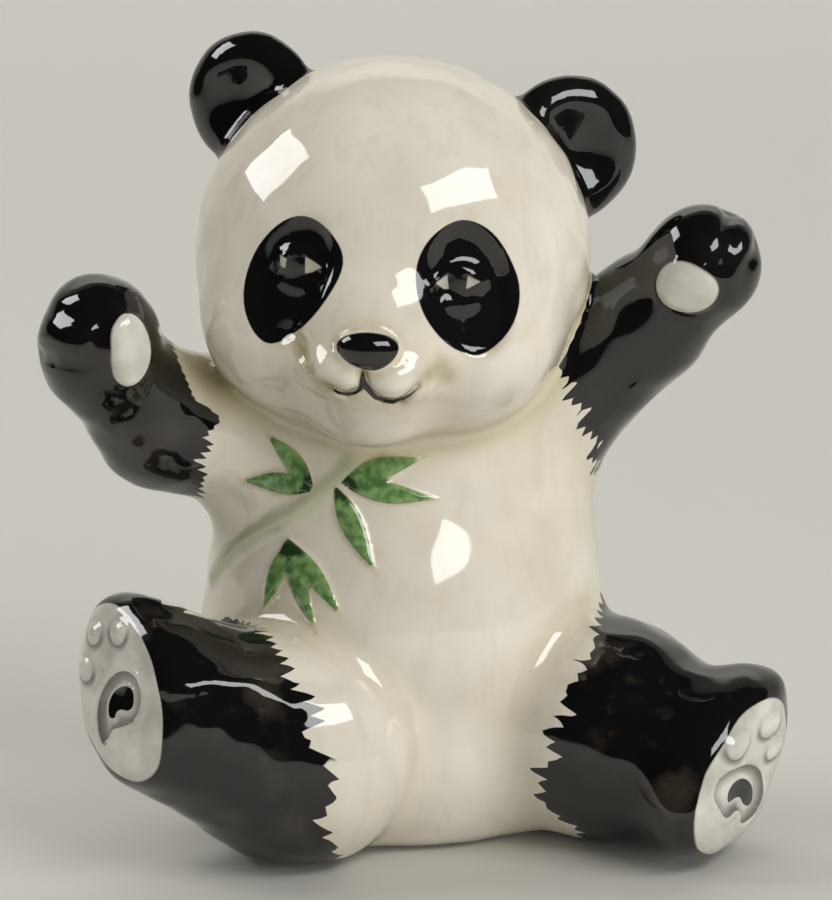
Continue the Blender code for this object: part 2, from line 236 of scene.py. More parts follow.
class Ball:
    """An egg of clay: an ellipsoid with its own turn."""

    def __init__(self, centre, radii, turn=None):
        self.centre = Vector(centre)
        self.radii = Vector(radii)
        self.turn = turn or Matrix.Identity(3)

    def distance(self, points):
        local = (points - np.array(self.centre)) @ np.array(self.turn)
        radii = np.array(self.radii)
        stretched = np.linalg.norm(local / radii, axis=1)
        slope = np.linalg.norm(local / radii**2, axis=1)
        return stretched * (stretched - 1) / np.maximum(slope, 1e-9)


class Roll:
    """A tapered roll of clay with round ends."""

    def __init__(self, start, end, start_radius, end_radius):
        self.start = Vector(start)
        self.end = Vector(end)
        self.start_radius = start_radius
        self.end_radius = end_radius

    def distance(self, points):
        start = np.array(self.start)
        way = np.array(self.end) - start
        length = np.linalg.norm(way)
        along = (points - start) @ way / length
        across = np.sqrt(np.maximum(np.sum((points - start) ** 2, axis=1) - along**2, 0))
        sine = (self.start_radius - self.end_radius) / length
        cosine = math.sqrt(1 - sine**2)
        share = np.clip((along - across * sine / cosine) / length, 0, 1)
        near = np.hypot(along - share * length, across)
        return near - (self.start_radius + share * (self.end_radius - self.start_radius))


class Foot:
    """An oval foot that ends in a flat sole; its axes are the sole's way out, its width and its toes."""

    # How far the oval's middle lies behind the sole, as a share of its thickness
    SUNK = 0.6

    def __init__(self, sole, facing, lean, length, width, thickness):
        outward = Vector(facing).normalized()
        across = outward.cross(Vector((0, 0, 1))).normalized()
        axes = Matrix((outward, across, across.cross(outward))).transposed()
        self.turn = axes @ turned(x=lean)
        self.sole = Vector(sole)
        self.facing = outward
        middle = self.sole - outward * self.SUNK * thickness
        self.ball = Ball(middle, (thickness, width / 2, length / 2), self.turn)

    def distance(self, points):
        return self.ball.distance(points)

    def beyond_sole(self, points):
        return (points - np.array(self.sole)) @ np.array(self.facing)


off_ball = Ball((0, 0, 0), (2, 2, 2)).distance(np.array([(3.0, 0.0, 0.0)]))
print("Off a ball of radius 2, from 3 units away:", round(float(off_ball[0]), 3))

# %% Blending
def fuse(one, other, fillet):
    """The union of two distances, with a fillet of about that size where they meet."""
    share = np.clip(0.5 + 0.5 * (other - one) / fillet, 0, 1)
    return other * (1 - share) + one * share - fillet * share * (1 - share)


def scoop(clay, tool, fillet):
    """What is left of the clay once the tool is pressed into it."""
    return -fuse(-clay, tool, fillet)


def step(value, start, end):
    """0 below start and 1 above end, with a smooth step between."""
    share = np.clip((value - start) / (end - start), 0, 1)
    return share * share * (3 - 2 * share)


def off_line(points, path):
    """The distance of each point to an open line, both flat or both in space."""
    near = np.full(len(points), np.inf)
    for start, end in zip(path, path[1:]):
        start = np.array(start, float)
        way = np.array(end, float) - start
        share = np.clip((points - start) @ way / (way @ way), 0, 1)
        near = np.minimum(near, np.linalg.norm(points - start - share[:, None] * way, axis=1))
    return near


def stroke(points, path, width):
    """1 along a path of points, and fading to 0 about a width away from it."""
    return np.exp(-((off_line(points, path) / width) ** 2))


print("A fillet of 2 adds this much where two forms meet:", -fuse(0.0, 0.0, 2.0))

# %% [markdown]
# ## The panda's forms
#
# All places are figure units. The head is laid out in its own axes, then turned and tilted, because
# the cub looks a little to one side.

# %% Head
HEAD_CENTRE = Vector((-2.7, -2.0, 69.9))
HEAD_RADIUS = 23.4
HEAD_TURN = turned(z=-5) @ turned(y=4)


def on_head(x, y, z):
    """A point given from the head's centre, in the head's own axes."""
    return HEAD_CENTRE + HEAD_TURN @ Vector((x, y, z))


SKULL = Ball(HEAD_CENTRE, (HEAD_RADIUS, 21.8, HEAD_RADIUS), HEAD_TURN)
MUZZLE = Ball(on_head(0, -16.8, -8.6), (8.8, 9.2, 6.4), HEAD_TURN)
BRIDGE = Ball(on_head(0, -13.8, -5.0), (11.2, 11.4, 10.5), HEAD_TURN)
CHIN = Ball(on_head(-0.5, -15.5, -14.0), (7.0, 6.8, 6.0), HEAD_TURN)
CHEEKS = [Ball(on_head(x, -11.5, -8.0), (9.0, 8.5, 8.0), HEAD_TURN) for x in (-11.0, 10.5)]
LIPS = [Ball(on_head(x, -22.4, -9.6), (4.6, 4.4, 3.2), HEAD_TURN) for x in (-3.4, 3.4)]
NOSE = Ball(on_head(-0.1, -25.5, -6.2), (3.7, 2.4, 2.3), HEAD_TURN)
EARS = {
    "right": Ball((-19.4, 3.0, 87.3), (8.2, 3.8, 8.3), turned(z=-25)),
    "left": Ball((18.0, 3.0, 81.6), (8.7, 3.9, 8.8), turned(z=20)),
}
print("Head, figure units across:", 2 * HEAD_RADIUS)

# %% Trunk and limbs
TRUNK = [
    Ball((-1.6, 1.6, 12.0), (24.6, 22.0, 18.0), turned(z=8)),
    Ball((-1.6, 0.5, 27.0), (23.9, 17.5, 21.0)),
    Ball((-1.2, 1.0, 44.0), (22.1, 15.6, 16.0)),
]
BELLY = Ball((-1.2, -3.4, 26.6), (19.5, 18.0, 17.0))
ARMS = {
    "right": [
        Roll((-19.0, 0.0, 47.8), (-30.0, -6.0, 50.6), 9.7, 7.7),
        Roll((-30.0, -6.0, 50.6), (-36.5, -12.5, 59.0), 7.7, 6.5),
        Ball((-37.0, -14.0, 62.1), (6.9, 7.4, 7.6)),
    ],
    "left": [
        Roll((17.0, 1.0, 53.4), (27.2, -1.0, 61.5), 9.5, 7.0),
        Roll((27.2, -1.0, 61.5), (33.0, -3.5, 68.0), 7.0, 6.1),
        Ball((34.2, -4.0, 69.4), (6.5, 6.4, 6.5)),
    ],
}
LEGS = {
    "right": [
        Roll((-7.0, -4.0, 14.8), (-14.0, -17.5, 13.2), 14.2, 13.2),
        Roll((-14.0, -17.5, 13.2), (-27.2, -21.5, 19.4), 13.2, 11.0),
    ],
    "left": [
        Roll((8.0, -1.0, 14.7), (23.0, -9.0, 13.3), 14.2, 12.8),
        Roll((23.0, -9.0, 13.3), (32.0, -15.0, 11.1), 12.8, 10.4),
    ],
}
FEET = {
    "right": Foot((-35.0, -25.2, 23.6), (-0.75, -0.63, 0.2), -42, 23.0, 16.2, 7.0),
    "left": Foot((39.6, -20.0, 11.9), (0.86, -0.50, -0.09), 55, 27.0, 15.4, 7.0),
}
limb_pieces = [piece for limbs in (ARMS, LEGS) for limb in limbs.values() for piece in limb]
print("Pieces of clay in the trunk, limbs and feet:", len(TRUNK) + 1 + len(limb_pieces) + len(FEET))

# %% Low relief
LEAF_FULLNESS = 0.8
LEAF_POINT = 1.3


def off_leaf(flat, base, tip, width, bow):
    """How far each point of the front view lies outside a pointed leaf, negative inside it."""
    base, way = np.array(base), np.array(tip) - np.array(base)
    length = np.linalg.norm(way)
    along = (flat - base) @ way / length**2
    bent = bow * np.sin(math.pi * np.clip(along, 0, 1))
    across = np.abs((flat - base) @ np.array([-way[1], way[0]]) / length - bent)
    half = width / 2 * np.sin(math.pi * np.clip(along, 0, 1) ** LEAF_FULLNESS) ** LEAF_POINT
    return across - half + length * np.maximum(np.maximum(-along, along - 1), 0)


# Each leaf's base and tip in the front view, its width and how far it bows to one side
LEAVES = [
    ((-12.0, 44.0), (-17.8, 50.1), 2.3, -0.2),
    ((-12.1, 43.7), (-20.9, 44.1), 2.5, -0.35),
    ((-8.9, 44.8), (1.2, 47.9), 2.6, 0.35),
    ((-8.5, 44.6), (2.8, 43.1), 2.4, 0.0),
    ((-9.6, 44.6), (-4.6, 35.0), 2.7, -0.2),
    ((-15.1, 37.4), (-18.3, 29.0), 1.9, 0.0),
    ((-14.9, 37.7), (-11.5, 28.0), 2.2, -0.55),
    ((-14.5, 37.6), (-8.5, 29.9), 2.1, 0.0),
    ((-15.0, 38.0), (-14.5, 33.6), 2.4, 0.0),
]
STEM = [
    (-7.5, -14.0, 46.8),
    (-9.7, -14.0, 44.7),
    (-11.9, -13.9, 42.9),
    (-15.2, -13.0, 40.5),
    (-19.0, -11.0, 38.0),
    (-22.2, -8.1, 35.2),
    (-24.9, -4.2, 31.0),
]
PATCHES = [
    Ball((-9.8, -19.6, -0.4), (4.9, 4.0, 7.9), turned(y=14)),
    Ball((10.5, -19.0, 0.0), (5.5, 4.0, 7.9), turned(y=-14)),
]
EYES = [Ball((-9.2, -16.6, 1.6), (3.3, 3.3, 2.9)), Ball((9.3, -16.4, 1.2), (3.3, 3.3, 2.9))]
MOUTH = [
    (-4.4, -10.9), (-2.2, -11.8), (-0.7, -10.9), (-0.4, -8.9),
    (0.4, -11.0), (2.0, -12.3), (3.8, -12.2), (5.8, -10.2),
]
SMILE_FOLDS = [[(-7.6, -7.6), (-6.4, -9.6), (-4.4, -10.9)], [(7.4, -7.8), (7.0, -9.4), (5.8, -10.2)]]
GROOVES = {
    "right": [
        [(-44.5, -14.0, 66.2), (-42.0, -18.5, 66.3), (-38.0, -20.7, 66.0), (-36.4, -20.9, 66.6)],
        [(-44.0, -15.5, 60.4), (-41.8, -19.8, 60.4), (-38.0, -21.6, 60.2), (-36.6, -21.8, 60.3)],
        [(-36.8, -19.8, 68.0), (-36.0, -20.9, 65.0), (-36.8, -21.6, 62.5), (-36.4, -21.6, 59.6),
         (-34.8, -21.4, 57.6)],
    ],
    "left": [
        [(37.0, -3.5, 75.0), (36.6, -7.5, 74.0), (36.9, -9.8, 71.8), (36.6, -10.4, 70.0)],
        [(40.6, -5.0, 71.5), (39.6, -8.5, 70.0), (38.9, -9.4, 68.4)],
    ],
}
PADS = {
    "right": Ball((-32.8, -19.9, 61.9), (3.3, 2.6, 4.7)),
    "left": Ball((31.9, -9.6, 67.5), (4.1, 2.6, 3.5)),
}
print("Bamboo leaves:", len(LEAVES))

# %% Fillets, depths and widths
FILLETS = {
    "trunk": 8.0,
    "belly": 4.0,
    "hip": 3.0,
    "along a limb": 3.0,
    "ankle": 4.0,
    "sole edge": 2.0,
    "shoulder": 5.0,
    "neck": 1.5,
    "cheek": 6.0,
    "muzzle": 4.0,
    "bridge": 2.0,
    "lip": 1.5,
    "between the lips": 0.6,
    "eye": 0.8,
    "nose": 0.5,
    "ear": 1.5,
    "ear rim": 1.2,
    "seat edge": 2.0,
}
SOCKET_DEPTH = 0.9
MOUTH_DEPTH = 0.6
FOLD_DEPTH = 0.3
GROOVE_DEPTH = 0.9
PAD_RISE = 0.6
MOUTH_WIDTH = 0.7
FOLD_WIDTH = 1.2
GROOVE_WIDTH = 1.0
STEM_WIDTH = 1.1
SOCKET_EDGE = (-1.6, 0.6)
PAD_EDGE = (-0.8, 0.4)
FACE_FRONT = (12, 16)
CHEST_FRONT = (0, 3)
DISH_SHARE = 0.66
DISH_THICKNESS = 2.9
DISH_FORWARD = 4.2
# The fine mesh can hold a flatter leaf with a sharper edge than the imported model.
SPRIG_RISE = 0.45
LEAF_EDGE = (-0.3, 0.25)
print("Joins with a fillet:", len(FILLETS))

# %% The figure as one distance
def chain(pieces, points, fillet):
    """The distance to several forms, fused one after another."""
    gap = pieces[0].distance(points)
    for piece in pieces[1:]:
        gap = fuse(gap, piece.distance(points), fillet)
    return gap


def ear_gap(ear, points):
    """Distance from one ear, its dish pressed in."""
    middle = ear.centre + ear.turn @ Vector((0, -DISH_FORWARD, 0))
    radii = (ear.radii.x * DISH_SHARE, DISH_THICKNESS, ear.radii.z * DISH_SHARE)
    dish = Ball(middle, radii, ear.turn)
    return scoop(ear.distance(points), dish.distance(points), FILLETS["ear rim"])


def head_gap(points):
    """Distance from the head's surface, face relief included."""
    local = (points - np.array(HEAD_CENTRE)) @ np.array(HEAD_TURN)
    gap = chain([SKULL, *CHEEKS], points, FILLETS["cheek"])
    gap = fuse(gap, CHIN.distance(points), FILLETS["muzzle"])
    gap = fuse(gap, MUZZLE.distance(points), FILLETS["muzzle"])
    gap = fuse(gap, BRIDGE.distance(points), FILLETS["bridge"])
    gap = fuse(gap, chain(LIPS, points, FILLETS["between the lips"]), FILLETS["lip"])
    for patch, eye in zip(PATCHES, EYES):
        gap = gap + SOCKET_DEPTH * (1 - step(patch.distance(local), *SOCKET_EDGE))
        gap = fuse(gap, eye.distance(local), FILLETS["eye"])
    front = local[:, [0, 2]]
    lines = MOUTH_DEPTH * stroke(front, MOUTH, MOUTH_WIDTH)
    for fold in SMILE_FOLDS:
        lines = np.maximum(lines, FOLD_DEPTH * stroke(front, fold, FOLD_WIDTH))
    gap = gap + lines * step(-local[:, 1], *FACE_FRONT)
    gap = fuse(gap, NOSE.distance(points), FILLETS["nose"])
    for ear in EARS.values():
        gap = fuse(gap, ear_gap(ear, points), FILLETS["ear"])
    return gap


def leg_gap(side, points):
    """Distance from a leg and its foot, cut flat at the sole."""
    leg = chain(LEGS[side], points, FILLETS["along a limb"])
    leg = fuse(leg, FEET[side].distance(points), FILLETS["ankle"])
    return scoop(leg, -FEET[side].beyond_sole(points), FILLETS["sole edge"])


def arm_gap(side, points):
    """Distance from an arm and its paw, with the fingers' grooves and the pad of the palm."""
    arm = chain(ARMS[side], points, FILLETS["along a limb"])
    for groove in GROOVES[side]:
        arm = arm + GROOVE_DEPTH * stroke(points, groove, GROOVE_WIDTH)
    return arm - PAD_RISE * (1 - step(PADS[side].distance(points), *PAD_EDGE))


def sprig(points):
    """1 on the bamboo sprig, 0 off it."""
    off = np.min([off_leaf(points[:, [0, 2]], *leaf) for leaf in LEAVES], axis=0)
    leaves = 1 - step(off, *LEAF_EDGE)
    return np.maximum(stroke(points, STEM, STEM_WIDTH), leaves) * step(-points[:, 1], *CHEST_FRONT)


def figure(points):
    """Distance of each point from the whole figure's surface, in figure units."""
    gap = fuse(chain(TRUNK, points, FILLETS["trunk"]), BELLY.distance(points), FILLETS["belly"])
    for side in ("right", "left"):
        gap = fuse(gap, leg_gap(side, points), FILLETS["hip"])
        gap = fuse(gap, arm_gap(side, points), FILLETS["shoulder"])
    gap = gap - SPRIG_RISE * sprig(points)
    gap = fuse(gap, head_gap(points), FILLETS["neck"])
    return scoop(gap, points[:, 2], FILLETS["seat edge"])


depth = -float(figure(np.array([BELLY.centre]))[0])
print("Clay round the belly's middle, figure units:", round(depth, 1))

# %% [markdown]
# ## Fine relief
#
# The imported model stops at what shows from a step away. Up close the cast also has eyelids, toe pads,
# a sunk ring with a raised spot in it on each sole, a ridge along the right leg, and the waves that
# fingers leave in clay. They are a few tenths of a millimetre deep.

# %% Lines and outlines of the fine relief
UPPER_LIDS = [
    [(-11.9, 1.2), (-10.6, 2.9), (-9.3, 3.4), (-7.9, 3.0), (-6.4, 1.5)],
    [(6.5, 0.8), (7.8, 2.4), (9.2, 2.9), (10.6, 2.4), (12.0, 1.1)],
]
LIP_LOBES = [(-2.7, -9.8), (2.5, -10.1)]
DEEP_FOLD = [(-8.3, -6.8), (-7.6, -8.4), (-6.2, -10.3), (-4.4, -11.2)]
SMILE_DIMPLE = [(6.4, -9.3), (7.8, -8.7), (8.6, -9.6)]
LOWER_LIDS = [[(-11.3, -0.6), (-9.9, -1.0), (-8.5, -0.7)], [(8.3, -1.2), (9.8, -1.6), (11.3, -1.2)]]
# Ovals on the soles, each toe's and the paint's: middle across and along, half width, half length, and
# turn in degrees
TOES = {
    "right": [(0.6, 7.0, 1.4, 1.5, 0), (-3.3, 4.8, 1.5, 1.6, 0), (4.0, 4.1, 1.3, 1.6, 0)],
    "left": [(1.45, 5.5, 1.6, 2.6, 31), (5.4, -1.3, 1.5, 2.4, 20), (-2.3, 5.0, 1.3, 2.1, 20)],
}
SOLE_PAINT = {"right": (0.6, -0.9, 7.4, 11.2, 0), "left": (-0.2, -1.6, 7.4, 10.9, 0)}
# Outlines on the soles, across and along: a sunk ring with a tail, and the raised spot inside it
SOLE_RINGS = {
    "right": [(4.3, -1.8), (2.6, 0.0), (0.0, 0.8), (-2.6, 0.2), (-3.9, -1.9), (-3.7, -4.3), (-2.3, -5.6),
              (-0.5, -5.9), (1.6, -5.1), (2.8, -4.7), (4.9, -6.0), (5.3, -4.2)],
    "left": [(3.2, -8.6), (4.2, -8.0), (5.0, -6.8), (4.7, -4.7), (2.4, -1.6), (-0.3, 0.4), (-3.0, 1.0),
             (-5.3, 0.3), (-6.0, -1.5), (-5.3, -4.2), (-4.0, -5.6), (-3.2, -4.9), (-1.4, -5.2),
             (-0.6, -8.1)],
}
SPOTS = {
    "right": [(2.8, -2.6), (2.1, -1.4), (0.8, -0.8), (-0.9, -1.0), (-2.1, -1.8), (-2.4, -2.9),
              (-1.7, -4.3), (-0.5, -4.2), (0.5, -3.3), (1.5, -3.1), (1.9, -3.7), (2.7, -3.3)],
    "left": [(2.0, -5.9), (2.1, -4.5), (1.3, -3.0), (-0.1, -1.8), (-2.3, -1.2), (-3.9, -1.5),
             (-4.3, -2.4), (-3.8, -3.1), (-2.3, -3.9), (-1.1, -3.9), (-0.3, -4.6), (0.2, -5.7),
             (0.8, -6.5)],
}
# A ridge runs along the right leg, in the front view
LEG_RIDGE = [(-28.0, 24.9), (-23.0, 25.0), (-19.0, 24.4), (-16.5, 23.2), (-14.0, 21.8)]
print("Toes:", sum(len(toes) for toes in TOES.values()))

# %% Heights and widths of the fine relief
# Each line's height, negative where it is pressed in, and its width
LINES = {
    "upper lid": (0.35, 0.5),
    "lower lid": (0.35, 0.7),
    "deep fold": (-0.45, 0.8),
    "dimple": (-0.3, 1.3),
    "mouth": (-0.25, 0.35),
    "leg ridge": (0.45, 1.1),
}
LIP_LOBE_RISE = 0.55
TOE_RISE = 0.6
RIM_RISE = 0.35
RIM_WIDTH = 0.5
RING_RISE = -0.35
SPOT_RISE = 0.3
LIP_LOBE_HALF = (2.7, 1.9)
LEG_FRONT = (18, 22)
RIM_PLACE = 0.35
TOE_EDGE = (-0.9, 0.2)
RING_EDGE = (-0.7, 0.1)
SPOT_EDGE = (0.1, 0.7)
# Sole marks fade with the depth behind the sole, and none lies further off than this
SOLE_FADE = (-2.5, -0.8)
SOLE_REACH = 3
# Finger waves: their ways, how fast the first one goes and how much faster each next, and their lag
WAVE_WAYS = [(0.9, 0.3, 0.5), (-0.4, 0.9, 0.6), (0.3, -0.6, 0.9), (-0.8, -0.5, 0.7)]
WAVE_PACE = 0.8
WAVE_PACE_STEP = 0.13
WAVE_LAG = 2.1
WAVE_HEIGHT = 0.03
WAVES_ON_BODY = 0.35
BODY_MIDDLE = (-1, 40)
HEIGHT_SHARE = 0.3
BODY_TO_LIMBS = (18, 30)
print("Deepest line, figure units:", min(height for height, width in LINES.values()))

# %% The fine relief
def rounded(outline, rounds=2):
    """Cuts the corners of a closed outline until it is smooth."""
    outline = np.array(outline)
    for _ in range(rounds):
        following = np.roll(outline, -1, axis=0)
        cut_corners = [outline * 0.75 + following * 0.25, outline * 0.25 + following * 0.75]
        outline = np.stack(cut_corners, 1).reshape(-1, 2)
    return outline


def off_outline(flat, outline):
    """The distance of each flat point to a closed outline, negative inside it."""
    outline = np.array(outline)
    near = np.full(len(flat), np.inf)
    inside = np.zeros(len(flat), bool)
    for start, end in zip(outline, np.roll(outline, -1, axis=0)):
        way = end - start
        share = np.clip((flat - start) @ way / (way @ way), 0, 1)
        near = np.minimum(near, np.linalg.norm(flat - start - share[:, None] * way, axis=1))
        crosses = (start[1] > flat[:, 1]) != (end[1] > flat[:, 1])
        with np.errstate(divide="ignore", invalid="ignore"):
            at = start[0] + (flat[:, 1] - start[1]) / (end[1] - start[1]) * way[0]
        inside ^= crosses & (flat[:, 0] < at)
    return np.where(inside, -near, near)


def sole_place(side, points):
    """Each point across and along a sole, and its height over the sole."""
    foot = FEET[side]
    local = (points - np.array(foot.sole)) @ np.array(foot.turn)
    return local[:, 1:], local[:, 0]


def off_oval(flat, across, along, half_width, half_length, turn):
    """About how far each flat point lies outside an oval, negative inside it."""
    turn = math.radians(turn)
    x = (flat[:, 0] - across) * math.cos(turn) + (flat[:, 1] - along) * math.sin(turn)
    y = (flat[:, 1] - along) * math.cos(turn) - (flat[:, 0] - across) * math.sin(turn)
    return (np.hypot(x / half_width, y / half_length) - 1) * min(half_width, half_length)


def lumps(points):
    """The unevenness that fingers leave on clay, in waves of 4 to 7 mm, strongest on the limbs."""
    x, z = BODY_MIDDLE
    off_body = np.abs(points[:, 0] - x) + HEIGHT_SHARE * np.abs(points[:, 2] - z)
    waves = 0
    for number, way in enumerate(WAVE_WAYS):
        pace = WAVE_PACE + WAVE_PACE_STEP * number
        waves = waves + np.sin(points @ np.array(way) * pace + WAVE_LAG * number)
    return WAVE_HEIGHT * waves * (WAVES_ON_BODY + step(off_body, *BODY_TO_LIMBS))


def raised(name, flat, path):
    """A line of the fine relief, as high and as wide as its name says."""
    height, width = LINES[name]
    return height * stroke(flat, path, width)


def sole_marks(side, flat):
    """The toes, the sunk ring with its rim, and the spot on one sole."""
    marks = 0
    for toe in TOES[side]:
        marks = marks + TOE_RISE * (1 - step(off_oval(flat, *toe), *TOE_EDGE))
    ring = off_outline(flat, rounded(SOLE_RINGS[side]))
    rim = np.exp(-(((ring - RIM_PLACE) / RIM_WIDTH) ** 2))
    marks = marks + RIM_RISE * rim + RING_RISE * (1 - step(ring, *RING_EDGE))
    spot = off_outline(flat, rounded(SPOTS[side]))
    return marks + SPOT_RISE * (1 - step(spot, *SPOT_EDGE))


def fine_relief(points):
    """How much the fine relief stands out of the surface; negative where it is pressed in."""
    local = (points - np.array(HEAD_CENTRE)) @ np.array(HEAD_TURN)
    front = local[:, [0, 2]]
    rise = 0
    for lid in UPPER_LIDS:
        rise = rise + raised("upper lid", front, lid)
    for lid in LOWER_LIDS:
        rise = rise + raised("lower lid", front, lid)
    for lobe in LIP_LOBES:
        off_lobe = np.linalg.norm((front - lobe) / LIP_LOBE_HALF, axis=1)
        rise = rise + LIP_LOBE_RISE * np.exp(-(off_lobe**2))
    rise = rise + raised("deep fold", front, DEEP_FOLD) + raised("dimple", front, SMILE_DIMPLE)
    rise = (rise + raised("mouth", front, MOUTH)) * step(-local[:, 1], *FACE_FRONT)
    rise = rise + lumps(points)
    ridge = raised("leg ridge", points[:, [0, 2]], LEG_RIDGE)
    rise = rise + ridge * step(-points[:, 1], *LEG_FRONT)
    for side in FEET:
        flat, height = sole_place(side, points)
        near = np.flatnonzero(np.abs(height) < SOLE_REACH)
        marks = sole_marks(side, flat[near])
        np.add.at(rise, near, marks * step(height[near], *SOLE_FADE))
    return rise


def finished(points):
    """Distance from the figure with its fine relief."""
    return figure(points) - fine_relief(points)


# %% [markdown]
# ## Laying the fine mesh
#
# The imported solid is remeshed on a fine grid, which gives even small squares all over. Each point then
# slides along the slope of the distance until it lies on the figure. Squares near the border between
# two paints are divided once, and those of the finest marks twice, so that the border stays crisp.

# %% Settling
GRID = 0.00066
SLOPE_REACH = 0.02
LEAST_STEEP = 0.5
LONGEST_STEP = 0.5


def slope_of(points):
    """The direction in which the distance grows, from four small steps at each point."""
    corners = np.array([(1, -1, -1), (-1, -1, 1), (-1, 1, -1), (1, 1, 1)], float)
    slope = sum(np.outer(finished(points + SLOPE_REACH * c), c) for c in corners)
    return slope / (len(corners) * SLOPE_REACH)


def settle(points, rounds):
    """Moves each point onto the finished surface, by short steps along the slope."""
    for _ in range(rounds):
        slope = slope_of(points)
        steep = np.maximum(np.sum(slope**2, axis=1), LEAST_STEEP)
        ahead = np.clip(finished(points), -LONGEST_STEP, LONGEST_STEP)
        points = points - slope * (ahead / steep)[:, None]
    return points


def places(mesh):
    """The mesh's points, in figure units."""
    points = np.empty(len(mesh.vertices) * 3, np.float32)
    mesh.vertices.foreach_get("co", points)
    return points.reshape(-1, 3) / UNIT + np.array([*ORIGIN, SEAT_CUT])


def put_places(mesh, points):
    """Moves the mesh's points to these, given in figure units."""
    points = (points - np.array([*ORIGIN, SEAT_CUT])) * UNIT
    points[:, 2] = np.maximum(points[:, 2], 0)
    mesh.vertices.foreach_set("co", points.astype(np.float32).ravel())
    mesh.update()


print("Grid, mm:", round(GRID * 1000, 2))

# %% Fine clay
FIRST_ROUNDS = 4

clay = bpy.data.objects.new("panda_glazed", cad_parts["panda"].data.copy())
bpy.context.scene.collection.objects.link(clay)
clay.data.materials.clear()
remesh = clay.modifiers.new("fine grid", "REMESH")
remesh.mode = "VOXEL"
remesh.voxel_size = GRID
graph = bpy.context.evaluated_depsgraph_get()
clay.data = bpy.data.meshes.new_from_object(clay.evaluated_get(graph))
clay.modifiers.clear()
put_places(clay.data, settle(places(clay.data), FIRST_ROUNDS))
print("Fine squares:", len(clay.data.polygons))

# %% [markdown]
# ## Where the paint goes
#
# The decorator's brush leaves a ragged edge on the arms and legs, drawn stroke by stroke in the way
# the fur lies, and a smooth edge round the eyes, nose and pads. Each paint is stored as a smooth
# distance to its border: below zero is painted. The shader then cuts it crisply, and frays the fur's
# border into the points of brush strokes, which are never quite the same length or distance apart.

# %% Fur borders
# Each border is a height in the front view and the place across where the black starts there.
FUR_BORDERS = {
    "right arm": [
        (40, -27.5), (42.3, -25.7), (45, -24.8), (47, -26.2), (48.8, -24.3), (50.2, -24.9),
        (51.7, -22.7), (53, -24.0), (54.5, -26.0), (57, -27), (59.4, -28.1), (63, -30), (80, -30),
    ],
    "left arm": [
        (38, 22), (43.3, 20.7), (44.7, 22.0), (46, 20.3), (47.6, 22.0), (49.1, 20.8), (50.6, 19.0),
        (52.2, 20.8), (53.7, 18.0), (55.5, 18.6), (57.5, 16.4), (62, 15.5), (80, 15.5),
    ],
    "right leg": [
        (-2, -11), (1, -9), (4, -10.6), (6, -11.7), (8.5, -9.4), (12.7, -10.3), (14.5, -11.6),
        (16, -13.2), (18.4, -11.8), (20, -12.3), (21.6, -14.0), (22.6, -15.4), (24.2, -15.2),
        (26.1, -16.2), (27.3, -17.0), (28.2, -18.5), (28.8, -19.3), (29.2, -21.1), (29.7, -23.1),
        (30, -25.3), (31.2, -27.7), (31.9, -29.8), (34, -34),
    ],
    "left leg": [
        (0, 19), (3.4, 19.8), (5.2, 16.8), (7.4, 14.5), (9.8, 15.4), (11.4, 14.3), (13, 17.0),
        (15.8, 15.6), (18.3, 18.5), (20.6, 17.3), (22.8, 19.6), (25.5, 20.9), (28, 22.5),
    ],
}
# Paint is laid out round each limb from its middle, as if the limb were a roll of this radius
FUR_RADIUS = 11
LIMB_MIDDLES = {
    "right arm": (-25, -6, 51),
    "left arm": (20, 0, 56),
    "right leg": (-12, -14, 14),
    "left leg": (17, -6, 13),
}
# Above these heights the arms' borders are smooth, and nothing on the legs is
SMOOTH_ABOVE = {"right arm": 51.5, "left arm": 55.5}
ABOVE_ALL = 100.0
SMOOTH_FADE = 2
SMOOTHED = 0.85
# How long the brush strokes at each border are
FRAY = {"right arm": 0.5, "left arm": 0.8, "right leg": 0.7, "left leg": 0.7}
# The right leg slopes up to the body, so its border's heights hold at SLANT_FROM, and towards the back
# the border lies lower
BORDER_SLANT = 0.231
SLANT_FROM = -20
# How far the black reaches beyond each limb's own clay, and how sharply it stops there
LEG_REACH = {"right": 3.2, "left": 2.2}
LEG_SHARPNESS = 5
ARM_REACH = 2.0
ARM_SHARPNESS = 2
# The arms' black keeps this far off the head, and the legs' black ends this far back
HEAD_REACH = 0.35
HEAD_SHARPNESS = 3
LEGS_BACK = 3
LIMB_WAYS = {
    "right arm": Vector((-0.86, -0.45, 0.25)),
    "left arm": Vector((0.72, -0.15, 0.68)),
    "right leg": Vector((-0.80, -0.55, 0.25)),
    "left leg": Vector((0.85, -0.52, -0.05)),
}


def off_fur(limb, points):
    """How far each point lies outside a limb's black fur, negative inside it."""
    side, part = limb.split()
    heights, borders = zip(*FUR_BORDERS[limb])
    height = points[:, 2]
    if limb == "right leg":
        height = height + BORDER_SLANT * (points[:, 1] - SLANT_FROM)
    border = np.interp(height, heights, borders)
    off = border - points[:, 0] if side == "left" else points[:, 0] - border
    if part == "leg":
        leg = chain([*LEGS[side], FEET[side]], points, FILLETS["along a limb"])
        off = np.maximum(off, LEG_SHARPNESS * (leg - LEG_REACH[side]))
        return np.maximum(off, points[:, 1] - LEGS_BACK)
    off = np.maximum(off, HEAD_SHARPNESS * (HEAD_REACH - head_gap(points)))
    arm = chain(ARMS[side], points, FILLETS["along a limb"])
    return np.maximum(off, ARM_SHARPNESS * (arm - ARM_REACH))


print("Fur borders:", ", ".join(FUR_BORDERS))

